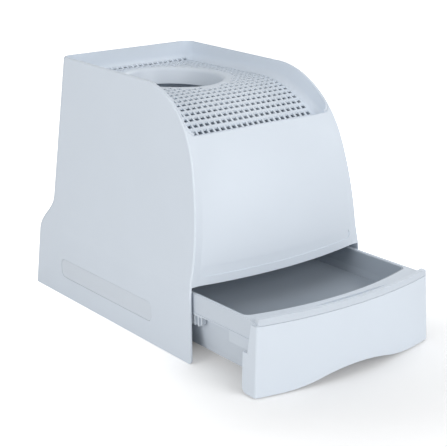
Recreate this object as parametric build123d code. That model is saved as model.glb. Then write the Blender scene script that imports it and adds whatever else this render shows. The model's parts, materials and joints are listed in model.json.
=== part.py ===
from build123d import *
import math
import os

# Drawer litter box: a moulded hood with a perforated tread and a round entry on top, and a
# drawer that slides out of its front. Millimetres, +Z up, the front faces -Y, left is -X.
# Everything is drawn about the middle of the hood's base, with the floor at Z = 0, and is
# moved at the end to the middle of the whole footprint, with the drawer pulled out.

# ---- housing, outer form: half width and back edge at four heights ----
BASE_HALF = 200.0
BASE_REAR = 289.0
FLARE_LOW_Z = 138.0
FLARE_LOW_HALF = 198.2
FLARE_LOW_REAR = 260.0
FLARE_HIGH_Z = 184.0
FLARE_HIGH_HALF = 188.8
FLARE_HIGH_REAR = 216.0
TOP_Z = 482.0
TOP_HALF = 156.0
TOP_REAR = 195.5
REAR_CORNER_R = 25.0
CREASE_BLEND = 16.0        # half height of the rounding of the two flare creases
WALL = 3.0

# ---- housing, side outline of the front ----
FRONT_Y = -293.0
FRONT_STRAIGHT_TOP = 197.5
LOW_ARC_R = 560.0
LOW_ARC_TURN = 16.0
HIGH_ARC_R = 172.0
EDGE_TURN = 32.3           # turn from upright at which the front panel ends
TOP_SLOPE = 1.4            # fall of the top rim towards the front, in degrees
BORDER = 16.0              # flat border between the side wall and the bowed panel
PANEL_BOW = 20.0           # how far the panel bows forward at its foot
BOW_STRAIGHT_TOP = 150.0
CORNER_ROUND = 3.0         # rounding of the outer edges of the front and the rim

# ---- housing, openings and inner ribs ----
MOUTH_TOP = 142.0          # lower edge of the front panel, over the drawer
JAMB = 3.4                 # thickness of the side walls' front edges
JAMB_DEPTH = 12.0
FOOT_CORNER_R = 8.0        # front bottom corner of the side walls
GRIP_LOW_Z = 157.0         # shallow long recess across the foot of the panel
GRIP_HIGH_Z = 175.0
GRIP_HALF = 172.0
GRIP_DEPTH = 1.3

# ---- tread ----
SEAT_GAP = 0.4             # clearance of the tread's side walls in the housing
TREAD_WALL = 2.8
TREAD_TOP = 443.0
TREAD_FLAT_FRONT = -62.0   # the tread is level behind this line
TREAD_ARC_R = 248.0        # and curves down in front of it
TREAD_FILLET = 12.0        # dished foot of the recess walls
TROUGH_R = 14.0            # hollow along the tread's front, behind the panel's edge
TREAD_EDGE_DROP = 4.0      # top of the tread's front wall below the panel's edge
HOLE_PITCH_X = 12.4
HOLE_PITCH_Y = 13.25
HOLE_X = 8.4
HOLE_Y = 8.4
HOLE_COLUMNS = 23
HOLE_ROWS = 31
HOLE_REAR_Y = 183.5
ENTRY_Y = 32.0             # middle of the oval entry
ENTRY_HALF_X = 84.0        # clear half width and half length at the collar's foot
ENTRY_HALF_Y = 105.0
COLLAR_DROP = 31.0
COLLAR_FLARE = 8.0         # how much the collar widens up to the tread
COLLAR_ROLL = 8.0          # rounding from the tread into the collar
COLLAR_LAND = 4.0          # least plain tread between the roll and the holes

# ---- drawer ----
PULL = 145.0               # how far the drawer stands out of its closed place
DRAWER_FRONT_GAP = 0.5     # drawer cover to housing edge, closed
COVER_DEPTH_LOW = 35.5     # depth of the cover's side returns at the foot
COVER_DEPTH_STEP = 23.5    # and over the step that the tray's ear stands on
COVER_DEPTH_HIGH = 15.5    # and at the seam
COVER_BOW = 26.0
COVER_HALF_LOW = 200.0
COVER_HALF_HIGH = 194.0
COVER_LOW_Z = 2.5
SEAM_Z = 126.0             # top of the cover
SEAM_GAP = 0.8
COVER_WALL = 2.8
COVER_CORNER_R = 5.0
WAVE_HALF = 150.0          # finger grip in the cover's lower edge
WAVE_HEIGHT = 17.0
NOSE_TOP = 128.6           # ledge between the raised strip and the rim
RIM_TOP = 131.0
RIM_THICK = 3.0
LIP_TOP = 138.5            # raised strip along the drawer's front
LIP_DEPTH = 8.0
LIP_HALF = 191.5
TRAY_OUT_HALF = 190.0      # rim and skirt
TRAY_IN_HALF = 184.0       # opening
TRAY_FLOOR_HALF = 165.0
TRAY_FLOOR_Z = 24.0
TRAY_WALL = 2.5
TRAY_REAR = 247.0          # closed place of the rim's back edge
LEDGE = 38.0               # from the drawer's front face back to the opening
TRAY_CORNER_R = 16.0
TRAY_END_DRAFT = 14.0
SKIRT_LOW_Z = 94.5
SKIRT_THICK = 2.4
SKIRT_BEAD = 1.2
EAR_LOW_Z = 75.0
EAR_LENGTH = 45.0
EAR_GAP = 1.2               # between the ear and the cover's side return

# ---- litter pan ----
PAN_GAP = 0.8
PAN_WALL = 2.2
PAN_TOP_BELOW_RIM = 1.2
PAN_FLOOR_Z = 88.0         # level that the litter lies on
PAN_BEVEL_TOP = 101.0      # crease round the foot of the pan's walls
PAN_BEVEL = 2.0            # how far the foot is drawn in below the crease
PAN_REST_GAP = 0.3
SHELF_WIDTH = 9.0          # shelf in the tray that carries the pan
SHELF_THICK = 2.5

# ---- rails and glides ----
RAIL_LOW_Z = 38.0
RAIL_HIGH_Z = 86.0
RAIL_FRONT = -279.0
RAIL_REAR = 242.0
RAIL_WEB = 2.6
RAIL_REACH = 180.5         # how near the middle the ledge comes
RAIL_LEDGE_TOP = 74.0
RAIL_LEDGE_THICK = 4.0
PAD_LOW_Z = 42.0
PAD_HIGH_Z = 80.0
PAD_FRONT = -170.0
PAD_REAR = 160.0
PAD_CORNER_R = 13.0
PAD_GAP = 0.6
GUSSETS = 7
GUSSET_THICK = 2.5
STOP_HEIGHT = 9.0
STOP_LENGTH = 5.0
TRAVEL_OUT = 150.0         # from the shown place to the stop
GLIDE_GAP = 0.3
GLIDE_LENGTH = 33.0
GLIDE_RIBS = 4
GLIDE_RIB_THICK = 3.0
GLIDE_TOE_RISE = 6.0       # slanted front end, which rides up on the rail
GLIDE_TOE_RUN = 10.0
GLIDE_FRONT_Y = -316.0     # shown place of the front glides' front end
GLIDE_REAR_Y = 58.0        # and of the rear glides'


# ======================= housing forms =======================
def level_list():
    return [
        (0.0, BASE_HALF, BASE_REAR),
        (FLARE_LOW_Z, FLARE_LOW_HALF, FLARE_LOW_REAR),
        (FLARE_HIGH_Z, FLARE_HIGH_HALF, FLARE_HIGH_REAR),
        (TOP_Z, TOP_HALF, TOP_REAR),
    ]


def slope(low, high, k):
    return (high[k] - low[k]) / (high[0] - low[0])


def wall_at(z):
    """Half width and back edge of the outer form at height z, with blended creases."""
    levels = level_list()
    result = []
    for k in (1, 2):
        span = 2 if z >= FLARE_HIGH_Z else 1 if z >= FLARE_LOW_Z else 0
        value = levels[span][k] + slope(levels[span], levels[span + 1], k) * (z - levels[span][0])
        for i in (1, 2):
            rise = z - levels[i][0] + CREASE_BLEND
            if 0 < rise < 2 * CREASE_BLEND:
                before = slope(levels[i - 1], levels[i], k)
                after = slope(levels[i], levels[i + 1], k)
                value = levels[i][k] + before * (rise - CREASE_BLEND)
                value += (after - before) * rise * rise / (4 * CREASE_BLEND)
        result.append(value)
    return result[0], result[1]


def half_at(z):
    return wall_at(z)[0]


def plan_section(z, inset):
    half, rear = wall_at(z)
    half -= inset
    rear -= inset
    far = FRONT_Y * 2
    radius = REAR_CORNER_R - inset
    back = FilletPolyline((-half, far), (-half, rear), (half, rear), (half, far), radius=radius)
    return Pos(0, 0, z) * make_face([back, Line(back @ 1, back @ 0)])


def tapered_form(inset):
    """Side and back faces of the shell, set in by inset."""
    heights = [-20.0]
    for crease in (FLARE_LOW_Z, FLARE_HIGH_Z):
        heights += [crease + CREASE_BLEND * share for share in (-1, -1 / 3, 1 / 3, 1)]
    heights.append(TOP_Z + 25.0)
    return loft([plan_section(z, inset) for z in heights], ruled=True)


def border_lean():
    """Sideways lean of the border line, which runs beside the side wall's edge."""
    return (FLARE_HIGH_HALF - TOP_HALF) / (TOP_Z - FLARE_HIGH_Z)


def border_plane(side):
    lean = border_lean()
    foot = FLARE_HIGH_HALF - BORDER + lean * FLARE_HIGH_Z
    return Plane(origin=(side * foot, 0, 0), x_dir=(0, 1, 0), z_dir=(1, 0, side * lean))


def border_scale():
    return math.hypot(1.0, border_lean())


def outline_face(plane, first, edges, high_arc, fall):
    """Closed side outline from the foot of the front, over the top, to the back."""
    foot = (first[0], -20.0)
    top = high_arc @ 1
    far = BASE_REAR * 2
    last = (far, top.Y + (far - top.X) * fall)
    back = Polyline(top, last, (far, -20.0), foot)
    return plane * make_face([Line(foot, first)] + edges + [high_arc, back])


def flush_arcs(inset):
    """The two arcs of the side walls' front edge, in the plane of the border line."""
    start = (FRONT_Y + inset, FRONT_STRAIGHT_TOP * border_scale())
    low_arc = JernArc(start, (0, 1), LOW_ARC_R - inset, -LOW_ARC_TURN)
    turn = 90.0 - LOW_ARC_TURN - TOP_SLOPE
    high_arc = JernArc(low_arc @ 1, low_arc % 1, HIGH_ARC_R - inset, -turn)
    return start, low_arc, high_arc


def panel_edge(inset):
    """Where the front panel ends in the side outline, as y and height."""
    knee = flush_arcs(inset)[1] @ 1
    before = math.radians(LOW_ARC_TURN)
    after = math.radians(EDGE_TURN)
    radius = HIGH_ARC_R - inset
    y = knee.X + radius * (math.cos(before) - math.cos(after))
    z = knee.Y + radius * (math.sin(after) - math.sin(before))
    return y, z / border_scale()


def flush_face(side, inset):
    start, low_arc, high_arc = flush_arcs(inset)
    fall = math.tan(math.radians(TOP_SLOPE))
    first = (start[0], BOW_STRAIGHT_TOP * border_scale())
    upright = Line(first, start)
    return outline_face(border_plane(side), first, [upright, low_arc], high_arc, fall)


def bowed_face(inset):
    """Middle outline: further forward at the foot, level with the flush one from the edge up."""
    edge_y, edge_z = panel_edge(inset)
    y = FRONT_Y - PANEL_BOW + inset
    run = edge_y - y
    rise = edge_z - BOW_STRAIGHT_TOP
    radius = (run * run + rise * rise) / (2 * run)
    turn = 2 * math.atan2(run, rise)
    part = math.asin((FRONT_STRAIGHT_TOP - BOW_STRAIGHT_TOP) / radius)
    first = (y, BOW_STRAIGHT_TOP)
    foot_arc = JernArc(first, (0, 1), radius, -math.degrees(part))
    low_arc = JernArc(foot_arc @ 1, foot_arc % 1, radius, -math.degrees(turn - part))
    fall = math.tan(math.radians(TOP_SLOPE)) / border_scale()
    end = math.pi / 2 - math.atan(fall)
    crown = flush_arcs(inset)[2] @ 1
    drop = crown.Y / border_scale() - edge_z + fall * (edge_y - crown.X)
    reach = math.cos(turn) - math.cos(end)
    high_r = drop / (math.sin(end) - math.sin(turn) - fall * reach)
    high_arc = JernArc(low_arc @ 1, low_arc % 1, high_r, -math.degrees(end - turn))
    return outline_face(Plane.YZ, first, [foot_arc, low_arc], high_arc, fall)


def front_form(inset):
    """Front and top faces of the shell: flush borders and the bowed panel between them."""
    left = flush_face(-1, inset)
    right = flush_face(1, inset)
    middle = loft([left, bowed_face(inset), right])
    reach = BASE_HALF
    left_border = extrude(left, amount=reach, dir=(-1, 0, 0))
    right_border = extrude(right, amount=reach, dir=(1, 0, 0))
    return middle + left_border + right_border


def block(x0, x1, y0, y1, z0, z1):
    middle = Pos((x0 + x1) / 2, (y0 + y1) / 2, (z0 + z1) / 2)
    return middle * Box(abs(x1 - x0), abs(y1 - y0), abs(z1 - z0))


def slot_prism(u0, u1, v0, v1, radius, plane, depth):
    """Rounded rectangle u0..u1 by v0..v1 in the plane, pushed both ways by depth."""
    middle = Pos((u0 + u1) / 2, (v0 + v1) / 2)
    face = plane * (middle * RectangleRounded(u1 - u0, v1 - v0, radius))
    return extrude(face, amount=depth, both=True)


def front_corner_radius(inset):
    return TREAD_FILLET + TREAD_WALL + SEAT_GAP - inset


def window_section(z):
    half, rear = wall_at(z)
    half -= WALL
    rear -= WALL
    front = panel_edge(0)[0]
    face = Pos(0, (front + rear) / 2, z) * Rectangle(2 * half, rear - front)
    back = [v for v in face.vertices() if v.Y > 0]
    face = fillet(back, REAR_CORNER_R - WALL)
    corners = [v for v in face.vertices() if v.Y < -200]
    return fillet(corners, front_corner_radius(0))


def window_form():
    """The opening in the top of the hood."""
    low = window_section(FLARE_HIGH_Z + 100)
    return loft([low, window_section(TOP_Z + 25.0)], ruled=True)


# ======================= housing =======================
def rim_edges(solid):
    """Outer edges between the sides and back of the form and its front and top."""
    fall = math.tan(math.radians(TOP_SLOPE)) / border_scale()
    crown = flush_arcs(0)[2] @ 1
    start, low_arc, high_arc = flush_arcs(0)
    found = []
    for edge in solid.edges():
        at = edge @ 0.5
        if at.Z < 1 or abs(at.X) < BORDER and at.Y < 0:
            continue
        side = Vertex(at.Y, at.Z * border_scale(), 0)
        level = crown.Y / border_scale() + fall * (at.Y - crown.X)
        on_top = at.Y > crown.X and abs(at.Z - level) < 0.5
        on_arc = min(low_arc.distance_to(side), high_arc.distance_to(side)) < 0.3
        on_front = abs(at.Y - FRONT_Y) < 0.3 and at.Z < start[1]
        outside = abs(at.X) > half_at(at.Z) - REAR_CORNER_R or at.Y > 0
        if outside and abs(at.X) > half_at(at.Z) - 1 or at.Y > 150:
            if on_top or on_arc or on_front:
                found.append(edge)
    return found


def grip_band():
    """Cutter of the shallow recess, following the panel's bow."""
    radius = (GRIP_HIGH_Z - GRIP_LOW_Z) / 2 - 0.1
    band = slot_prism(-GRIP_HALF, GRIP_HALF, GRIP_LOW_Z, GRIP_HIGH_Z, radius, Plane.XZ, 500)
    ahead = block(-500, 500, FRONT_Y * 2, FRONT_Y / 2, 0, FLARE_HIGH_Z + 10)
    return (band & ahead) - front_form(GRIP_DEPTH)


def foot_corners():
    """Cutter that rounds the front bottom corners of the side walls."""
    r = FOOT_CORNER_R
    square = block(-500, 500, FRONT_Y - 5, FRONT_Y + r, -5, r)
    return square - Pos(0, FRONT_Y + r, r) * Rot(0, 90, 0) * Cylinder(r, 1000)


def housing():
    form = tapered_form(0) & front_form(0)
    form = fillet(rim_edges(form), CORNER_ROUND)
    form = form & block(-500, 500, -500, 500, 0, 600)
    body = form - (tapered_form(WALL) & front_form(WALL))
    jamb = form & block(-500, 500, -500, FRONT_Y + JAMB_DEPTH, 0, MOUTH_TOP + 20)
    body = body + (jamb - tapered_form(JAMB))
    body = body - window_form()
    body = body - block(-500, 500, -500, FRONT_Y, -30, MOUTH_TOP)
    mouth = tapered_form(JAMB) & block(-500, 500, -500, FRONT_Y + JAMB_DEPTH, -30, MOUTH_TOP)
    body = body - mouth
    body = body - grip_band() - foot_corners()
    pad = slot_prism(PAD_FRONT, PAD_REAR, PAD_LOW_Z, PAD_HIGH_Z, PAD_CORNER_R, Plane.YZ, 500)
    return body - pad


# ======================= tread =======================
def tread_arcs(drop):
    """Side curve of the tread from its level part to its front wall, set down by drop."""
    wall_y = panel_edge(0)[0] + SEAT_GAP + TREAD_WALL
    reach = TREAD_FLAT_FRONT - wall_y - TROUGH_R
    turn = math.degrees(math.asin(reach / (TREAD_ARC_R + TROUGH_R)))
    start = (TREAD_FLAT_FRONT, TREAD_TOP - drop)
    fall = JernArc(start, (-1, 0), TREAD_ARC_R - drop, turn)
    return fall, JernArc(fall @ 1, fall % 1, TROUGH_R + drop, -(turn + 90))


def above_tread(drop):
    """Everything over the tread and behind its front wall."""
    fall, trough = tread_arcs(drop)
    far = BASE_REAR * 2
    high = TOP_Z + 60
    end = trough @ 1
    rest = Polyline(end, (end.X, high), (far, high), (far, TREAD_TOP - drop), fall @ 0)
    face = Plane.YZ * make_face([fall, trough, rest])
    return extrude(face, amount=BASE_HALF * 2, both=True)


def basin(inset, drop, radius):
    """Inside of the recess over the tread, with a rounded foot."""
    low = plan_section(FLARE_HIGH_Z + 20, inset)
    sides = loft([low, plan_section(TOP_Z + 25, inset)], ruled=True)
    form = sides & above_tread(drop)
    foot = []
    for edge in form.edges():
        at = edge @ 0.5
        beside = abs(at.X) > TOP_HALF / 2 and at.Y < 0 and at.Z < TOP_Z
        if beside and abs(edge @ 0 - edge @ 1) > 5 or at.Z < TREAD_TOP + 1 and at.Y > 0:
            foot.append(edge)
    return fillet(foot, radius)


def entry_form(grow, low, high):
    """Oval form of the entry from low to high, widening upwards, grown by grow."""
    ovals = []
    for z in (low, high):
        wide = grow + COLLAR_FLARE * (z - TREAD_TOP + COLLAR_DROP) / COLLAR_DROP
        oval = Ellipse(ENTRY_HALF_X + wide, ENTRY_HALF_Y + wide)
        ovals.append(Pos(0, ENTRY_Y, z) * oval)
    return loft(ovals, ruled=True)


def beside_entry(x, y, grow):
    """Whether a point in plan is outside the entry's upper edge grown by grow."""
    wide = COLLAR_FLARE + grow
    across = x / (ENTRY_HALF_X + wide)
    along = (y - ENTRY_Y) / (ENTRY_HALF_Y + wide)
    return math.hypot(across, along) > 1


def add_collar(plate):
    """The tread's plate with the collar hanging from it and the edge rolled over."""
    low = TREAD_TOP - COLLAR_DROP
    tube = entry_form(TREAD_WALL, low, TREAD_TOP + 8) - above_tread(0)
    body = plate + tube - entry_form(0, low - 5, TREAD_TOP + 8)
    roll = []
    for edge in body.edges():
        at = edge @ 0.5
        inner = beside_entry(at.X, at.Y, -1.5) and not beside_entry(at.X, at.Y, 1.5)
        if inner and at.Z > TREAD_TOP - 2.2:
            roll.append(edge)
    return fillet(roll, COLLAR_ROLL)


def hole_places():
    places = []
    keep = COLLAR_ROLL + COLLAR_LAND
    for row in range(HOLE_ROWS):
        y = HOLE_REAR_Y - row * HOLE_PITCH_Y
        near_y = math.copysign(max(abs(y - ENTRY_Y) - HOLE_Y / 2, 0), y - ENTRY_Y) + ENTRY_Y
        for column in range(HOLE_COLUMNS):
            x = (column - (HOLE_COLUMNS - 1) / 2) * HOLE_PITCH_X
            near_x = max(abs(x) - HOLE_X / 2, 0)
            if beside_entry(near_x, near_y, keep):
                places.append((x, y))
    return places


def tread_grille():
    outer = basin(WALL + SEAT_GAP, TREAD_WALL, TREAD_FILLET + TREAD_WALL)
    inner = basin(WALL + SEAT_GAP + TREAD_WALL, 0, TREAD_FILLET)
    edge_y, edge_z = panel_edge(0)
    front = edge_y + SEAT_GAP + TREAD_WALL
    above_wall = block(-500, 500, -500, front, edge_z - TREAD_EDGE_DROP, 600)
    plate = ((outer - inner) & front_form(0)) - above_wall
    body = add_collar(plate)
    middle = TREAD_TOP - 40.0
    cells = [Pos(x, y, middle) * Box(HOLE_X, HOLE_Y, 110) for x, y in hole_places()]
    return body - cells


# ======================= rails =======================
def rail(side):
    web = tapered_form(WALL + 0.3) - tapered_form(WALL + 0.3 + RAIL_WEB)
    web = web & block(0, 500, RAIL_FRONT, RAIL_REAR, RAIL_LOW_Z, RAIL_HIGH_Z)
    pad = slot_prism(PAD_FRONT + PAD_GAP, PAD_REAR - PAD_GAP, PAD_LOW_Z + PAD_GAP,
                     PAD_HIGH_Z - PAD_GAP, PAD_CORNER_R - PAD_GAP, Plane.YZ, 500)
    pad = pad & (tapered_form(0.3) - tapered_form(WALL + 0.3 + RAIL_WEB))
    pad = pad & block(0, 500, -500, 500, 0, 200)
    low = RAIL_LEDGE_TOP - RAIL_LEDGE_THICK
    fill = tapered_form(WALL + 0.3)
    ledge = fill & block(RAIL_REACH, 500, RAIL_FRONT, RAIL_REAR, low, RAIL_LEDGE_TOP)
    body = web + pad + ledge
    for number in range(GUSSETS):
        y = RAIL_FRONT + 12 + number * (RAIL_REAR - RAIL_FRONT - 24) / (GUSSETS - 1)
        rib = [(RAIL_REACH + 2, low), (BASE_HALF, low), (BASE_HALF, RAIL_LOW_Z + 2)]
        face = Plane.XZ * Pos(0, 0) * make_face(Polyline(*rib, close=True))
        brace = Pos(0, y, 0) * extrude(face, amount=GUSSET_THICK / 2, both=True)
        body = body + (brace & fill)
    stop_y = GLIDE_REAR_Y - TRAVEL_OUT - GLIDE_GAP
    stop = block(RAIL_REACH + 2, half_at(RAIL_HIGH_Z) - WALL - 2, stop_y - STOP_LENGTH,
                 stop_y, low, RAIL_LEDGE_TOP + STOP_HEIGHT)
    body = body + stop
    return body if side > 0 else mirror(body, Plane.YZ)


# ======================= drawer =======================
def cover_y():
    """Front face of the drawer at its corners, in the shown place."""
    return FRONT_Y - DRAWER_FRONT_GAP - PULL - COVER_DEPTH_LOW


def bowed_plan(half, front, rear, bow, radius, z):
    """Plan face with a forward-bowed front edge and rounded corners."""
    sides = Polyline((-half, front), (-half, rear), (half, rear), (half, front))
    arc = ThreePointArc((half, front), (0, front - bow), (-half, front))
    face = make_face([sides, arc])
    return Pos(0, 0, z) * fillet(face.vertices(), radius)


def cover_form(inset, low, high):
    """Body of the drawer's front block, set in by inset."""
    sections = []
    for z in (low, high):
        share = (z - COVER_LOW_Z) / (SEAM_Z - COVER_LOW_Z)
        half = COVER_HALF_LOW + (COVER_HALF_HIGH - COVER_HALF_LOW) * share - inset
        front = cover_y() + inset
        radius = max(COVER_CORNER_R - inset, 1.0)
        sections.append(bowed_plan(half, front, cover_y() + 90, COVER_BOW, radius, z))
    return loft(sections, ruled=True)


def wave_cut():
    """Lower edge of the cover: level at both ends and raised in the middle."""
    rise = WAVE_HEIGHT / 2
    run = WAVE_HALF / 2
    radius = (run * run + rise * rise) / (2 * rise)
    turn = math.degrees(2 * math.atan2(rise, run))
    first = JernArc((-WAVE_HALF, COVER_LOW_Z), (1, 0), radius, turn)
    second = JernArc(first @ 1, first % 1, radius, -turn)
    third = JernArc(second @ 1, (1, 0), radius, -turn)
    fourth = JernArc(third @ 1, third % 1, radius, turn)
    under = Polyline(fourth @ 1, (WAVE_HALF, -20), (-WAVE_HALF, -20), (-WAVE_HALF, COVER_LOW_Z))
    face = Plane.XZ * make_face([first, second, third, fourth, under])
    return extrude(face, amount=600)


def return_edge(gap):
    """Stepped rear edge of the cover's side returns, from the foot up, moved back by gap."""
    rear = cover_y() + COVER_DEPTH_LOW + gap
    over_step = cover_y() + COVER_DEPTH_STEP + gap
    high = cover_y() + COVER_DEPTH_HIGH + gap
    step_z = EAR_LOW_Z - EAR_GAP
    return [(rear, -30), (rear, step_z), (over_step, step_z), (high, SEAM_Z), (high, SEAM_Z + 1)]


def drawer_front():
    body = cover_form(0, COVER_LOW_Z, SEAM_Z)
    body = body - cover_form(COVER_WALL, COVER_LOW_Z - 5, SEAM_Z - COVER_WALL)
    body = body - cover_form(COVER_WALL * 4, COVER_LOW_Z - 5, SEAM_Z + 5)
    rear = cover_y() + COVER_DEPTH_LOW
    far = cover_y() - 100
    corner = 12.0
    keep = make_face(Polyline((far, -30), *return_edge(0), (far, SEAM_Z + 1), close=True))
    keep = extrude(Plane.YZ * keep, amount=300, both=True)
    toe = block(-300, 300, rear - corner, rear + 5, COVER_LOW_Z - 5, COVER_LOW_Z + corner)
    heel = Pos(0, rear - corner, COVER_LOW_Z + corner) * Rot(0, 90, 0) * Cylinder(corner, 700)
    return (body & keep) - (toe - heel) - wave_cut()


def tray_section(z, inset, step):
    """Plan of the tray's hollow at height z, grown by -inset and drawn in by step."""
    share = (z - TRAY_FLOOR_Z) / (RIM_TOP - TRAY_FLOOR_Z)
    half = TRAY_FLOOR_HALF + (TRAY_IN_HALF - TRAY_FLOOR_HALF) * share - inset - step
    draft = TRAY_END_DRAFT * (1 - share)
    front = cover_y() + LEDGE + 5 + draft + inset + step
    rear = TRAY_REAR - PULL - 6 - draft - inset - step
    radius = TRAY_CORNER_R - inset
    return bowed_plan(half, front, rear, COVER_BOW + 3, radius, z)


def tray_form(inset, low, high):
    return loft([tray_section(low, inset, 0), tray_section(high, inset, 0)], ruled=True)


def rim_plan(inset, z):
    front = cover_y() + COVER_DEPTH_HIGH
    rear = TRAY_REAR - PULL - inset
    half = TRAY_OUT_HALF - inset
    face = Pos(0, (front + rear) / 2, z) * Rectangle(2 * half, rear - front)
    back = [v for v in face.vertices() if v.Y > 0]
    return fillet(back, TRAY_CORNER_R - inset)


def ear_cut():
    """Side outline of what the skirt loses ahead of its ear and below its long part."""
    rear = cover_y() + COVER_DEPTH_LOW + EAR_GAP + EAR_LENGTH
    far = cover_y() - 100
    ahead = make_face(Polyline((far, -30), *return_edge(EAR_GAP), (far, SEAM_Z + 1), close=True))
    ahead = extrude(Plane.YZ * ahead, amount=500, both=True)
    long_part = block(-500, 500, rear, 500, 0, SKIRT_LOW_Z)
    return long_part + block(-500, 500, far, rear, 0, EAR_LOW_Z) + ahead


def drawer_tray():
    plate_low = RIM_TOP - RIM_THICK
    bowl = tray_form(-TRAY_WALL, TRAY_FLOOR_Z, plate_low + 1)
    rim = extrude(rim_plan(0, plate_low), amount=RIM_THICK)
    nose_low = SEAM_Z + SEAM_GAP
    nose = cover_form(0, nose_low, NOSE_TOP)
    nose = nose & block(-500, 500, -600, cover_y() + COVER_DEPTH_HIGH + 1, 0, 200)
    lip = cover_form(0, nose_low, LIP_TOP) - cover_form(LIP_DEPTH, nose_low - 5, LIP_TOP + 5)
    ends = slot_prism(-LIP_HALF, LIP_HALF, nose_low - 6, LIP_TOP, 4.5, Plane.XZ, 600)
    lip = lip & ends & block(-500, 500, -600, cover_y() + 8, 0, 200)
    skirt = extrude(rim_plan(0, EAR_LOW_Z), amount=plate_low + 1 - EAR_LOW_Z)
    skirt = skirt - extrude(rim_plan(SKIRT_THICK, EAR_LOW_Z - 5), amount=90)
    skirt = skirt - ear_cut()
    bead = extrude(rim_plan(-SKIRT_BEAD, SKIRT_LOW_Z), amount=2.5)
    bead = bead - extrude(rim_plan(SKIRT_THICK / 2, SKIRT_LOW_Z - 5), amount=20) - ear_cut()
    hollow = tray_form(0, TRAY_FLOOR_Z + TRAY_WALL, RIM_TOP)
    shelf_top = PAN_FLOOR_Z - PAN_WALL - PAN_REST_GAP
    shelf = tray_form(-TRAY_WALL / 2, shelf_top - SHELF_THICK, shelf_top)
    shelf = shelf - tray_form(SHELF_WIDTH, shelf_top - SHELF_THICK - 1, shelf_top + 1)
    body = bowl + rim - hollow
    body = body + (nose - hollow) + lip
    body = body + skirt + bead + shelf
    for start in (GLIDE_FRONT_Y, GLIDE_REAR_Y):
        post = block(glide_inner() - 8, glide_inner(), start + 6, start + GLIDE_LENGTH - 6,
                     RAIL_LEDGE_TOP + 4, SKIRT_LOW_Z - 3)
        post = post - tray_form(0, TRAY_FLOOR_Z, RIM_TOP)
        body = body + post + mirror(post, Plane.YZ)
    return body


# ======================= litter pan =======================
def pan_form(inset, low):
    top = RIM_TOP - PAN_TOP_BELOW_RIM
    gap = PAN_GAP + inset
    sections = [tray_section(low, gap, PAN_BEVEL), tray_section(PAN_BEVEL_TOP, gap, 0)]
    sections.append(tray_section(top if inset == 0 else top + 5, gap, 0))
    return loft(sections, ruled=True)


def litter_pan():
    return pan_form(0, PAN_FLOOR_Z - PAN_WALL) - pan_form(PAN_WALL, PAN_FLOOR_Z)


# ======================= glides =======================
def glide_inner():
    return RAIL_REACH + 0.5


def glide(side, start):
    inner = glide_inner()
    low = RAIL_LEDGE_TOP + GLIDE_GAP
    high = SKIRT_LOW_Z - 0.2
    body = block(inner, inner + 2.4, start, start + GLIDE_LENGTH, low, high)
    body = body + block(inner, TRAY_OUT_HALF, start, start + GLIDE_LENGTH, high - 2.4, high)
    pitch = (GLIDE_LENGTH - GLIDE_RIB_THICK) / (GLIDE_RIBS - 1)
    for number in range(GLIDE_RIBS):
        y = start + number * pitch
        body = body + block(inner, TRAY_OUT_HALF, y, y + GLIDE_RIB_THICK, low, high)
    toe = Polyline((start, low), (start + GLIDE_TOE_RUN, low), (start, low + GLIDE_TOE_RISE),
                   close=True)
    body = body - extrude(Plane.YZ * make_face(toe), amount=300)
    return body if side > 0 else mirror(body, Plane.YZ)


# ======================= the whole object =======================
def pieces():
    return {
        "housing": housing(),
        "tread_grille": tread_grille(),
        "rail_left": rail(-1),
        "rail_right": rail(1),
        "drawer_tray": drawer_tray(),
        "litter_pan": litter_pan(),
        "drawer_front": drawer_front(),
        "glide_front_left": glide(-1, GLIDE_FRONT_Y),
        "glide_front_right": glide(1, GLIDE_FRONT_Y),
        "glide_rear_left": glide(-1, GLIDE_REAR_Y),
        "glide_rear_right": glide(1, GLIDE_REAR_Y),
    }


def centre_y():
    """Middle of the footprint with the drawer in its shown place."""
    return (cover_y() - COVER_BOW + BASE_REAR) / 2


def main():
    os.makedirs("parts", exist_ok=True)
    for name, shape in pieces().items():
        export_step(Pos(0, -centre_y(), 0) * shape, "parts/" + name + ".step")


if __name__ == "__main__":
    main()
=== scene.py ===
import bpy
import json
import math
from mathutils import Matrix, Vector


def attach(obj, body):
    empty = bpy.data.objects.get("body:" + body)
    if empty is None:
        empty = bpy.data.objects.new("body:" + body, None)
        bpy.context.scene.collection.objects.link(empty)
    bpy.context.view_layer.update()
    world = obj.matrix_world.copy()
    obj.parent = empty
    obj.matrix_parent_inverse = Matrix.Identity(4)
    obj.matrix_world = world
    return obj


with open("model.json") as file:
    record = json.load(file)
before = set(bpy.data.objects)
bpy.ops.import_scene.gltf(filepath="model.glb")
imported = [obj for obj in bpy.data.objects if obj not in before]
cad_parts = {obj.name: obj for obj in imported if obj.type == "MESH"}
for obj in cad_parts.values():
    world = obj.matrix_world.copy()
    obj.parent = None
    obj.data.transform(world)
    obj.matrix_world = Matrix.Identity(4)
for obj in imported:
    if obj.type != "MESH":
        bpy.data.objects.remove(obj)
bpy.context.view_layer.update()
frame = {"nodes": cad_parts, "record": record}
nodes = frame["nodes"]


WHITE = (1, 1, 1, 1)


# ---------------- shader building ----------------
def new_tree(name):
    material = bpy.data.materials.new(name)
    material.use_nodes = True
    return material, material.node_tree


def noise(tree, place, scale, detail):
    """A noise in object coordinates."""
    node = tree.nodes.new("ShaderNodeTexNoise")
    node.inputs["Scale"].default_value = scale
    node.inputs["Detail"].default_value = detail
    tree.links.new(place.outputs["Object"], node.inputs["Vector"])
    return node.outputs["Fac"]


def ranged(tree, value, source, target, kind="LINEAR"):
    """The value, with the range source mapped to the range target."""
    node = tree.nodes.new("ShaderNodeMapRange")
    node.interpolation_type = kind
    node.inputs["From Min"].default_value, node.inputs["From Max"].default_value = source
    node.inputs["To Min"].default_value, node.inputs["To Max"].default_value = target
    tree.links.new(value, node.inputs["Value"])
    return node.outputs["Result"]


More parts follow.
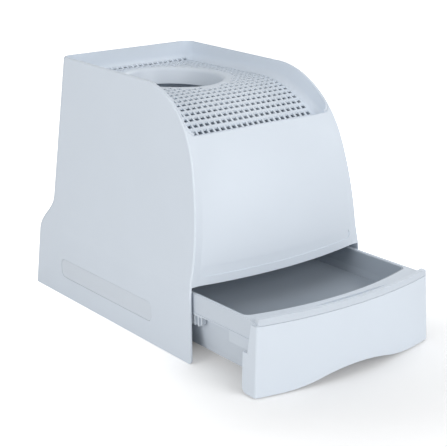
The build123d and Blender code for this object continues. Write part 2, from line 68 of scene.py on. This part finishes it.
def product(tree, first, second):
    node = tree.nodes.new("ShaderNodeMath")
    node.operation = "MULTIPLY"
    tree.links.new(first, node.inputs[0])
    tree.links.new(second, node.inputs[1])
    return node.outputs[0]


# ---------------- materials of the part ----------------
DRIFT_SCALE, DRIFT_DETAIL = 7.0, 3.0     # slow drift of the colour
GLOSS_SCALE, GLOSS_DETAIL = 22.0, 4.0    # patches of more and less gloss
GRAIN_SCALE, GRAIN_DETAIL = 900.0, 2.0   # fine texture of the mould
GRAIN_HEIGHT = 0.00004                   # metres
GRAIN_STRENGTH = 0.5
GLOSS_SPREAD = 0.06                      # of the roughness, from least to most
PLASTIC_IOR = 1.49
PLASTIC_SPECULAR = 0.42
SATIN, DULL = 0.42, 0.5                  # roughness of the mouldings and of the rails
TINT, PAN_TINT = 0.02, 0.04              # drift of the colour, as a share of it


def linear(rgb):
    """Scene-linear colour of an sRGB one in 0..255."""
    out = []
    for value in rgb:
        c = value / 255.0
        out.append(c / 12.92 if c <= 0.04045 else ((c + 0.055) / 1.055) ** 2.4)
    return out


def plastic(name, rgb, rough, tint=TINT):
    """Moulded plastic: a slight drift of colour and gloss, and the fine texture of the mould."""
    material, tree = new_tree(name)
    join = tree.links.new
    shader = tree.nodes["Principled BSDF"]
    shader.inputs["IOR"].default_value = PLASTIC_IOR
    shader.inputs["Specular IOR Level"].default_value = PLASTIC_SPECULAR
    place = tree.nodes.new("ShaderNodeTexCoord")

    base = linear(rgb)
    colour = tree.nodes.new("ShaderNodeMix")
    colour.data_type = "RGBA"
    colour.inputs["A"].default_value = [c * (1 - tint) for c in base] + [1]
    colour.inputs["B"].default_value = [min(c * (1 + tint), 1) for c in base] + [1]
    join(noise(tree, place, DRIFT_SCALE, DRIFT_DETAIL), colour.inputs["Factor"])
    join(colour.outputs["Result"], shader.inputs["Base Color"])

    patches = noise(tree, place, GLOSS_SCALE, GLOSS_DETAIL)
    spread = (rough - GLOSS_SPREAD / 2, rough + GLOSS_SPREAD / 2)
    join(ranged(tree, patches, (0.0, 1.0), spread), shader.inputs["Roughness"])

    bump = tree.nodes.new("ShaderNodeBump")
    bump.inputs["Strength"].default_value = GRAIN_STRENGTH
    bump.inputs["Distance"].default_value = GRAIN_HEIGHT
    join(noise(tree, place, GRAIN_SCALE, GRAIN_DETAIL), bump.inputs["Height"])
    join(bump.outputs["Normal"], shader.inputs["Normal"])
    return material


shell_white = plastic("shell_white", (223, 231, 240), SATIN)
tray_white = plastic("tray_white", (211, 219, 228), SATIN)
rail_white = plastic("rail_white", (220, 227, 235), DULL)
pan_grey = plastic("pan_grey", (158, 167, 177), SATIN, PAN_TINT)

FINISH = {"shell": shell_white, "rail": rail_white, "pan": pan_grey}
for part in frame["record"]["subparts"]:
    mesh = nodes[part["node"]].data
    mesh.materials.clear()
    mesh.materials.append(FINISH[part["material_slot"]])
nodes["drawer_tray"].data.materials[0] = tray_white


# ---------------- ledge along the drawer's front ----------------
# Lengths in metres. The two arcs are given as middle depth, rise and half width.
LEDGE_HALF = 0.1933
LEDGE_LOW, LEDGE_TOP = 0.1275, 0.13105
LEDGE_STEPS = 120
LEDGE_FRONT = (-0.3875, 0.026, 0.186)
LEDGE_REAR = (-0.3545, 0.029, 0.184)
LEDGE_FRONT_FIRST = -0.3665  # the front edge goes no further forward: in the middle it is straight
LEDGE_REAR_LAST = -0.3515    # the rear edge goes no further back
STEP_START = 0.1885          # near the raised strip's end the front edge steps forward
STEP_OUT = 0.004
STEP_RUN = 0.001             # width over which it does


def bowed(x, middle_y, rise, half):
    """Depth at x of an arc bowed forward: middle_y in the middle, and rise further back at half."""
    radius = (half * half + rise * rise) / (2 * rise)
    return middle_y + radius - math.sqrt(radius * radius - x * x)


def ledge_span(x):
    """Front and rear of the ledge at x, in the row frame."""
    past = max(0.0, abs(x) - STEP_START)
    front = bowed(x, *LEDGE_FRONT) - STEP_OUT * min(1.0, past / STEP_RUN)
    front = max(front, LEDGE_FRONT_FIRST + past)
    rear = min(bowed(x, *LEDGE_REAR), LEDGE_REAR_LAST)
    return front, rear


def drawer_ledge():
    """A level band over the joint of the tray's plates, along the drawer's front."""
    verts, faces = [], []
    for i in range(LEDGE_STEPS + 1):
        x = LEDGE_HALF * (2 * i / LEDGE_STEPS - 1)
        front, rear = ledge_span(x)
        verts += [(x, front, LEDGE_LOW), (x, front, LEDGE_TOP),
                  (x, rear, LEDGE_TOP), (x, rear, LEDGE_LOW)]
    for i in range(LEDGE_STEPS):
        for k in range(4):
            a, b = 4 * i + k, 4 * i + (k + 1) % 4
            faces.append((a, b, b + 4, a + 4))
    last = 4 * LEDGE_STEPS
    faces += [(3, 2, 1, 0), (last, last + 1, last + 2, last + 3)]
    mesh = bpy.data.meshes.new("drawer_ledge")
    mesh.from_pydata(verts, [], faces)
    mesh.materials.append(tray_white)
    piece = bpy.data.objects.new("drawer_ledge", mesh)
    bpy.context.scene.collection.objects.link(piece)
    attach(piece, "drawer")


drawer_ledge()


# ---------------- floor ----------------
FLOOR_TONE = (0.80, 0.80, 0.80, 1)
FLOOR_ROUGH = 0.9
FLOOR_HALF = 30.0
FLOOR_Z = -0.0004
PAINTED_SHADOW_MIDDLE = (0.0, -0.43, 0.0)  # in front of the drawer: the glow is least here, a painted shadow over the floor's lit tone and its real shadows
GLOW_REACH = (0.05, 0.85)        # metres from there over which the glow rises
GLOW_LEVELS = (0.14, 1.0)
INSIDE_HALF = 0.192              # the floor under the hood
INSIDE_FRONT, INSIDE_REAR = -0.187, 0.380
INSIDE_Z = -0.0002
INSIDE_DARK = -0.06              # from its front back to here the glow fades out


def floor_material(name, fades):
    """Pale floor, white far from the object to the camera alone, with a painted shadow in front of
    the drawer where the glow is least. fades: no glow inside the hood.
    """
    material, tree = new_tree(name)
    join = tree.links.new
    shader = tree.nodes["Principled BSDF"]
    shader.inputs["Base Color"].default_value = FLOOR_TONE
    shader.inputs["Roughness"].default_value = FLOOR_ROUGH
    shader.inputs["Specular IOR Level"].default_value = 0.0
    path = tree.nodes.new("ShaderNodeLightPath")
    place = tree.nodes.new("ShaderNodeTexCoord")
    reach = tree.nodes.new("ShaderNodeVectorMath")
    reach.operation = "DISTANCE"
    reach.inputs[1].default_value = PAINTED_SHADOW_MIDDLE
    join(place.outputs["Object"], reach.inputs[0])
    # the glow rises with distance from that point, so the floor is darker near it: painted shadow
    level = ranged(tree, reach.outputs["Value"], GLOW_REACH, GLOW_LEVELS, "SMOOTHSTEP")
    strength = product(tree, level, path.outputs["Is Camera Ray"])
    if fades:
        split = tree.nodes.new("ShaderNodeSeparateXYZ")
        join(place.outputs["Object"], split.inputs[0])
        fade = ranged(tree, split.outputs["Y"], (INSIDE_FRONT, INSIDE_DARK), (1.0, 0.0),
                      "SMOOTHSTEP")
        strength = product(tree, fade, strength)
    glow = tree.nodes.new("ShaderNodeEmission")
    glow.inputs["Color"].default_value = WHITE
    join(strength, glow.inputs["Strength"])
    both = tree.nodes.new("ShaderNodeAddShader")
    join(shader.outputs[0], both.inputs[0])
    join(glow.outputs[0], both.inputs[1])
    join(both.outputs[0], tree.nodes["Material Output"].inputs["Surface"])
    return material


def floor_plane(name, low, high, z, fades):
    mesh = bpy.data.meshes.new(name)
    corners = [(low[0], low[1]), (high[0], low[1]), (high[0], high[1]), (low[0], high[1])]
    mesh.from_pydata([(x, y, z) for x, y in corners], [], [(0, 1, 2, 3)])
    mesh.materials.append(floor_material(name, fades))
    floor = bpy.data.objects.new(name, mesh)
    bpy.context.scene.collection.objects.link(floor)


floor_plane("floor", (-FLOOR_HALF, -FLOOR_HALF), (FLOOR_HALF, FLOOR_HALF), FLOOR_Z, False)
floor_plane("floor_inside", (-INSIDE_HALF, INSIDE_FRONT), (INSIDE_HALF, INSIDE_REAR), INSIDE_Z,
            True)


# ---------------- light ----------------
SKY_TONE = (0.97, 0.985, 1.0, 1)  # what lights the object; the camera sees plain white
SKY_LEVEL = 0.45
LAMPS = [  # name, place, height aimed at on the middle line, disk's diameter, watts
    ("key", (0.4, -3.0, 1.5), 0.24, 1.8, 42.0),
    ("side", (-2.8, -0.4, 1.2), 0.25, 1.8, 28.0),
    ("fill", (2.7, 0.9, 1.7), 0.35, 1.8, 26.0),
    ("top", (0.4, 0.3, 3.1), 0.3, 2.2, 4.0),
]


def studio_world():
    world = bpy.data.worlds.new("studio")
    world.use_nodes = True
    bpy.context.scene.world = world
    tree = world.node_tree
    back = tree.nodes["Background"]
    back.inputs["Color"].default_value = SKY_TONE
    back.inputs["Strength"].default_value = SKY_LEVEL
    clear = tree.nodes.new("ShaderNodeBackground")
    clear.inputs["Color"].default_value = WHITE
    path = tree.nodes.new("ShaderNodeLightPath")
    both = tree.nodes.new("ShaderNodeMixShader")
    tree.links.new(path.outputs["Is Camera Ray"], both.inputs[0])
    tree.links.new(back.outputs[0], both.inputs[1])
    tree.links.new(clear.outputs[0], both.inputs[2])
    tree.links.new(both.outputs[0], tree.nodes["World Output"].inputs["Surface"])


def lamp(name, place, aim_z, size, power):
    data = bpy.data.lights.new(name, "AREA")
    data.shape = "DISK"
    data.size = size
    data.energy = power
    piece = bpy.data.objects.new(name, data)
    bpy.context.scene.collection.objects.link(piece)
    piece.location = place
    away = Vector(place) - Vector((0, 0, aim_z))
    piece.rotation_euler = away.to_track_quat("Z", "Y").to_euler()


studio_world()
for row in LAMPS:
    lamp(*row)


# ---------------- camera ----------------
SENSOR = 36.0                      # millimetres
PHOTO_SIDE = 447.0                 # pixels; the next two lines are also in pixels
PHOTO_FOCAL = 1182.88
PHOTO_AXIS = (229.78, 216.68)      # where the lens's axis meets the photograph
CAMERA_ANGLES = (-36.698, 16.857, -1.176)  # yaw, pitch and roll in degrees
CAMERA_CLIP = 100.0
ROW_SHIFT = 0.1055                 # the row frame's Y less the housing's, in metres
CAMERA_PLACE = (-1.2817, -1.8667 + ROW_SHIFT, 0.8486)


def photo_camera():
    """The photograph's place and angle, solved from its perspective."""
    data = bpy.data.cameras.new("camera")
    data.sensor_fit = "HORIZONTAL"
    data.sensor_width = SENSOR
    data.lens = SENSOR * PHOTO_FOCAL / PHOTO_SIDE
    data.shift_x = (PHOTO_SIDE / 2 - PHOTO_AXIS[0]) / PHOTO_SIDE
    data.shift_y = (PHOTO_AXIS[1] - PHOTO_SIDE / 2) / PHOTO_SIDE
    data.clip_end = CAMERA_CLIP
    piece = bpy.data.objects.new("camera", data)
    bpy.context.scene.collection.objects.link(piece)
    yaw, pitch, roll = (math.radians(a) for a in CAMERA_ANGLES)
    back = Vector((math.sin(yaw) * math.cos(pitch), -math.cos(yaw) * math.cos(pitch),
                   math.sin(pitch)))
    right = Vector((0, 0, 1)).cross(back).normalized()
    up = back.cross(right)
    right, up = (right * math.cos(roll) + up * math.sin(roll),
                 up * math.cos(roll) - right * math.sin(roll))
    turn = Matrix((right, up, back)).transposed().to_4x4()
    piece.matrix_world = Matrix.Translation(CAMERA_PLACE) @ turn
    bpy.context.scene.camera = piece


photo_camera()
bpy.context.scene.view_settings.view_transform = "Standard"
